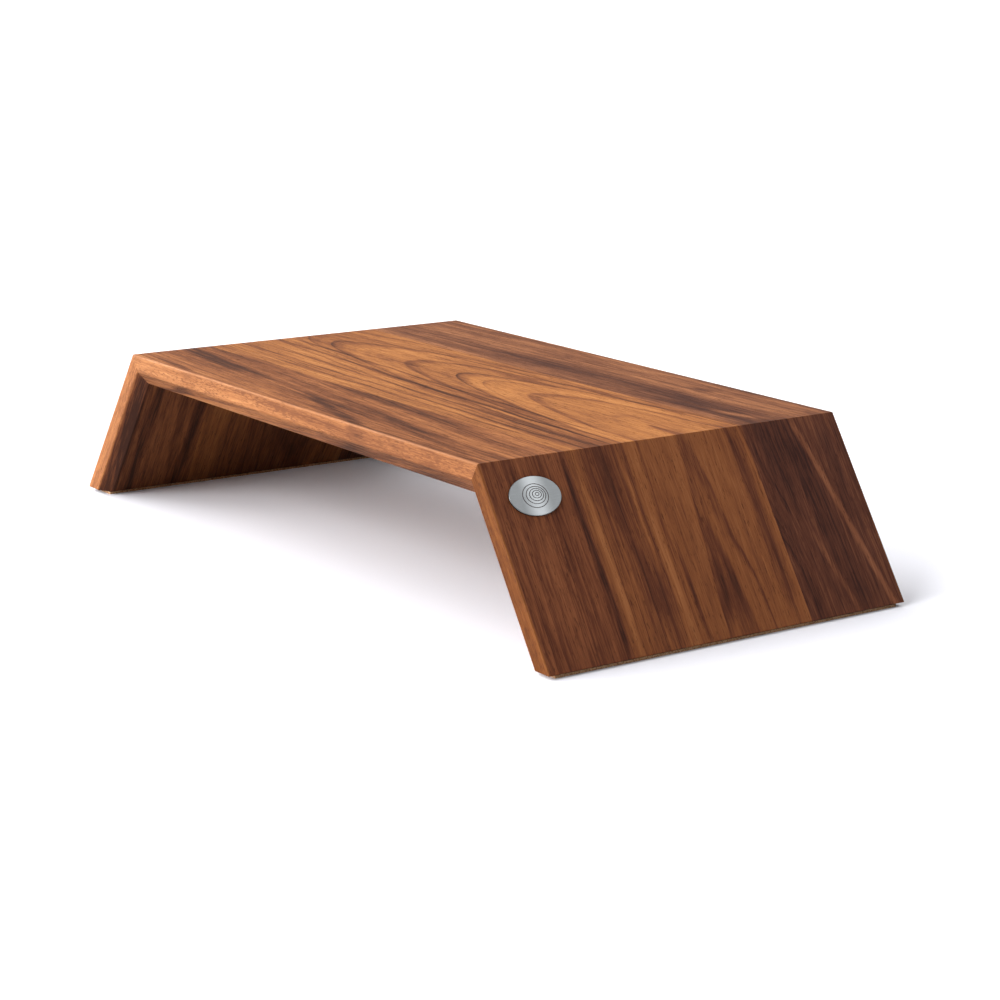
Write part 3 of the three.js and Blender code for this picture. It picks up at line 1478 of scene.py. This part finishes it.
WALNUT_ROWS = (
    WalnutRow(
        heart_y=-6.0,
        heart_z=-60.0,
        spread=900.0,
        march=48.0,
        waver=9.0,
        seed=31.0,
        edge=-0.04,
        streaks=(
            Streak(-82.0, 7.0, 0.27, start=-230.0, end=-60.0, slope=-0.10),
            Streak(-98.0, 5.5, 0.25, start=-30.0, end=90.0, slope=-0.24, fade=30.0),
            Streak(-92.0, 6.0, 0.24, start=10.0, end=170.0, slope=-0.14),
            Streak(-76.0, 7.0, 0.20, start=-60.0, end=120.0, fade=50.0),
            Streak(-114.0, 3.5, 0.28, start=-190.0, end=-100.0, slope=-0.12, fade=30.0),
            Streak(-72.0, 2.5, 0.30, start=180.0, fade=20.0),
            Streak(-118.0, 14.0, -0.14, start=-250.0, end=40.0, fade=80.0),
            Streak(-108.0, 5.0, 0.34, end=-180.0, fade=10.0),
            Streak(-74.0, 5.0, 0.34, end=-180.0, fade=10.0),
            # Painted shade: darkens the left leg's inner chamfer, which faces away from the light.
            Streak(-120.5, 5.0, 0.40, end=-188.0, fade=8.0, waver=0.0),
            Streak(-127.0, 7.0, 0.22, start=40.0, end=188.0, waver=0.0),
        ),
    ),
    WalnutRow(
        heart_y=12.0,
        heart_z=-26.0,
        shift=74.0,
        spread=620.0,
        waver=12.0,
        seed=7.0,
        depth=-0.10,
        line=0.42,
        grain=0.8,
        pale=(0.54, 0.240, 0.095),
        light=(0.38, 0.152, 0.057),
        streaks=(
            Streak(-50.0, 16.0, 0.26, start=60.0, fade=110.0),
            Streak(-40.0, 10.0, 0.26, start=240.0, fade=30.0),
            Streak(-64.0, 3.0, -0.26, start=196.0, fade=30.0, waver=3.0),
            Streak(-34.0, 1.6, -0.26, start=190.0, end=262.0, fade=20.0, waver=3.0),
            Streak(-26.0, 2.6, -0.24, start=210.0, fade=50.0, waver=3.0),
            Streak(8.0, 4.0, 0.34, start=230.0, slope=-0.12, fade=30.0, waver=4.0),
            Streak(8.0, 4.0, 0.34, start=230.0, slope=0.10, fade=30.0, waver=4.0),
            Streak(7.0, 8.0, 0.30, start=256.0, fade=30.0, waver=10.0),
            Streak(-17.0, 1.8, 0.36, start=240.0, fade=30.0, waver=3.0),
            Streak(47.0, 7.5, 0.34, start=170.0, fade=30.0, waver=3.0),
            Streak(18.0, 20.0, -0.14, start=-180.0, end=20.0, fade=70.0),
            Streak(-8.0, 1.5, 0.30, start=-200.0, end=196.0, slope=-0.045),
            Streak(-18.0, 1.9, 0.34, start=-200.0, end=196.0, slope=-0.050),
            Streak(-24.0, 1.3, 0.26, start=-120.0, end=196.0, slope=-0.045),
            Streak(-34.0, 1.7, 0.32, start=-200.0, end=196.0, slope=-0.035),
            Streak(-45.0, 1.5, 0.30, start=-200.0, end=196.0, slope=-0.028),
            Streak(-55.0, 1.4, 0.28, start=-180.0, end=196.0, slope=-0.020),
            Streak(40.0, 1.4, 0.24, start=-120.0, end=196.0, slope=0.030),
            # Painted shade: darkens the whole middle stave of the left leg, which stands in shade.
            Streak(-8.0, 50.0, 0.28, end=-190.0, fade=10.0),
        ),
    ),
    WalnutRow(
        heart_y=10.0,
        heart_z=-70.0,
        spread=1200.0,
        march=240.0,
        waver=16.0,
        seed=57.0,
        pale=(0.46, 0.215, 0.115),
        light=(0.31, 0.130, 0.068),
        middle=(0.165, 0.064, 0.038),
        dark=(0.058, 0.024, 0.020),
        streaks=(
            Streak(73.0, 19.0, 0.28, start=-130.0, fade=110.0),
            Streak(70.0, 12.0, 0.18, start=70.0, end=200.0, fade=50.0),
            Streak(102.0, 5.0, 0.30, start=82.0, end=110.0, fade=12.0, slope=0.2),
            Streak(66.0, 6.0, -0.36, start=140.0, end=186.0, fade=16.0, slope=0.35),
            Streak(112.0, 12.0, -0.10, end=180.0),
            Streak(100.0, 34.0, 0.20, start=180.0, fade=20.0),
            Streak(91.0, 3.2, -0.42, start=184.0, slope=0.23, fade=8.0, waver=3.0),
            Streak(74.0, 3.0, -0.22, start=240.0, slope=0.28, fade=20.0, waver=4.0),
            # Painted shade: darkens the whole back stave of the left leg, which stands in shade.
            Streak(90.0, 50.0, 0.36, end=-190.0, fade=10.0),
        ),
        knots=(Knot(300.0, 44.0, 100.0, 46.0, -4.5),),
    ),
)

# Painted light and shade: the legs' faces are darkened as though in shade, the left leg's most; the
# right leg's front edge is darkened and the left leg's is lightened as though lit. The top's
# colours take blue out of its faces and edges.
TOP_TINT_AND_SHADE = Tint((1.0, 0.98, 0.82), (0.96, 0.94, 0.78))
LEG_PAINTED_LIGHT_AND_SHADE = {
    Side.LEFT: Tint((0.66, 0.58, 0.50), (1.08, 1.06, 0.86), contrast=0.5, depth=0.06),
    Side.RIGHT: Tint((0.82, 0.69, 0.64), (0.44, 0.35, 0.20), contrast=0.7),
}


class Riser:
    """The whole riser: the top, two legs, and the small parts."""

    def __init__(self) -> None:
        """Measures the frame and lays out the panels."""
        corner = Corner.measured()
        arris, height = corner.arris_x, corner.arris_z
        top = PanelFrame(Vector((0, 0, height)), 0.0, 0.0, corner.half_depth, (-arris, arris))
        self.panels = [Panel("top", corner, top, (-1, 1), 0, TOP_TINT_AND_SHADE)]
        for side in Side:
            sign = side.value
            start, end = sorted((sign * arris, sign * (arris + corner.slope)))
            leg = PanelFrame(
                Vector((sign * arris, 0, height)),
                sign * corner.fold,
                sign * arris,
                corner.half_depth,
                (start, end),
            )
            name = f"leg_{side.word}"
            self.panels.append(Panel(name, corner, leg, (-sign,), sign, LEG_PAINTED_LIGHT_AND_SHADE[side]))
        self.tenons = Tenons()
        self.strips = FootStrips()
        self.badge = Badge(corner)

    def build(self) -> None:
        """Builds and dresses every piece."""
        effects = WoodEffects()
        mortises = Mortises(self.tenons)
        for panel in self.panels:
            panel.build(mortises)
            panel.dress(effects)
            LOG.info("%s: %d staves", panel.name, len(panel.pieces))
        mortises.put_away()
        self.tenons.dress()
        LOG.info("mitres: %d tenons", len(self.tenons.nodes))
        self.strips.build()
        self.strips.dress()
        LOG.info("feet: %d cork strips", len(self.strips.pieces))
        self.badge.build()
        self.badge.dress()
        LOG.info("badge: %s", self.badge.piece.name)


def standing(azimuth: float, elevation: float, roll: float = 0.0) -> Matrix:
    """A turn that looks at the riser from a direction.

    Args:
        azimuth: degrees round from the front, towards +X.
        elevation: degrees up.
        roll: degrees that the view's right hand side is turned up.

    Returns:
        The turn, with +Z back towards the onlooker.
    """
    turns = ((azimuth, "Z"), (90 - elevation, "X"), (roll, "Z"))
    around, up, rolled = (Matrix.Rotation(math.radians(turn), 4, axis) for turn, axis in turns)
    return around @ up @ rolled


@dataclass(frozen=True)
class Lamp:
    """A distant soft light: where it stands, how wide it looks, and its strength."""

    name: str
    azimuth: float
    elevation: float
    width: float
    strength: float
    in_gloss: bool = True

    def build(self) -> None:
        """Adds the light."""
        data = bpy.data.lights.new(self.name, "SUN")
        data.angle = math.radians(self.width)
        data.energy = self.strength
        lamp = new_object(self.name, data)
        lamp.matrix_world = standing(self.azimuth, self.elevation)
        lamp.visible_glossy = self.in_gloss


@dataclass
class Studio:
    """A plain pale floor, soft light and the camera.

    Gloss sees a soft pale ceiling, which starts between the heights that `ceiling` gives as the
    sine of an elevation. The camera sees a white backdrop.
    """

    azimuth: float = 53.62
    elevation: float = 13.51
    roll: float = 0.8
    distance: float = 1.4369
    lens: float = 91.08
    film: float = 36.0
    far: float = 100.0
    aim_aside: Vector = field(default_factory=lambda: Vector((0.0892, -0.0390, 0.0001)))
    floor_size: float = 60.0
    world: float = 0.03
    backdrop: float = 1.0
    gloss: Span = (0.12, 0.75)
    ceiling: Span = (0.66, 0.86)
    lamps: tuple[Lamp, ...] = (
        Lamp("key", -60.0, 28.0, 60.0, 4.9),
        Lamp("front_fill", 0.0, 22.0, 45.0, 3.4),
        Lamp("left_fill", -90.0, 35.0, 60.0, 0.35),
        Lamp("back_left", -140.0, 45.0, 60.0, 1.6, in_gloss=False),
        Lamp("back_right", 150.0, 42.0, 30.0, 0.42),
    )

    def build(self) -> None:
        """Builds the stage."""
        self._floor()
        self._world()
        for lamp in self.lamps:
            lamp.build()
        self._camera()
        view = bpy.context.scene.view_settings
        view.view_transform = "Standard"
        view.look = "None"

    def _floor(self) -> None:
        """Lays the floor."""
        bm = bmesh.new()
        bmesh.ops.create_grid(bm, x_segments=1, y_segments=1, size=self.floor_size / 2)
        floor = new_solid(bm, "floor")
        dress(floor, FloorFinish().material("pale_floor"))

    def _world(self) -> None:
        """Fills the air with a plain soft light, behind the backdrop and the ceiling."""
        world = bpy.data.worlds.new("studio")
        bpy.context.scene.world = world
        world.use_nodes = True
        sheet = Sheet(world.node_tree)
        rays = sheet.add("LightPath").outputs
        height = sheet.split(sheet.add("TexCoord").outputs["Generated"])[2]
        strength = sheet.total(
            self.world,
            (rays["Is Glossy Ray"], sheet.fit(height, *self.ceiling, self.gloss)),
            (rays["Is Camera Ray"], self.backdrop - self.world),
        )
        air = world.node_tree.nodes["Background"]
        sheet.feed(air.inputs["Color"], (1.0, 1.0, 1.0))
        sheet.feed(air.inputs["Strength"], strength)

    def _camera(self) -> None:
        """Stands the camera to the front and right of the riser."""
        low, high = (Vector(corner) for corner in cad_box)
        aim = Matrix.Translation((low + high) / 2 + self.aim_aside)
        back = Matrix.Translation((0.0, 0.0, self.distance))
        data = bpy.data.cameras.new("camera")
        data.lens = self.lens
        data.sensor_width = self.film
        data.clip_end = self.far
        camera = new_object("camera", data)
        camera.matrix_world = aim @ standing(self.azimuth, self.elevation, self.roll) @ back
        bpy.context.scene.camera = camera


def main() -> None:
    """Builds the riser and the studio."""
    logging.basicConfig(level=logging.INFO, format="%(name)s: %(message)s")
    Riser().build()
    Studio().build()


if __name__ == "__main__":
    main()
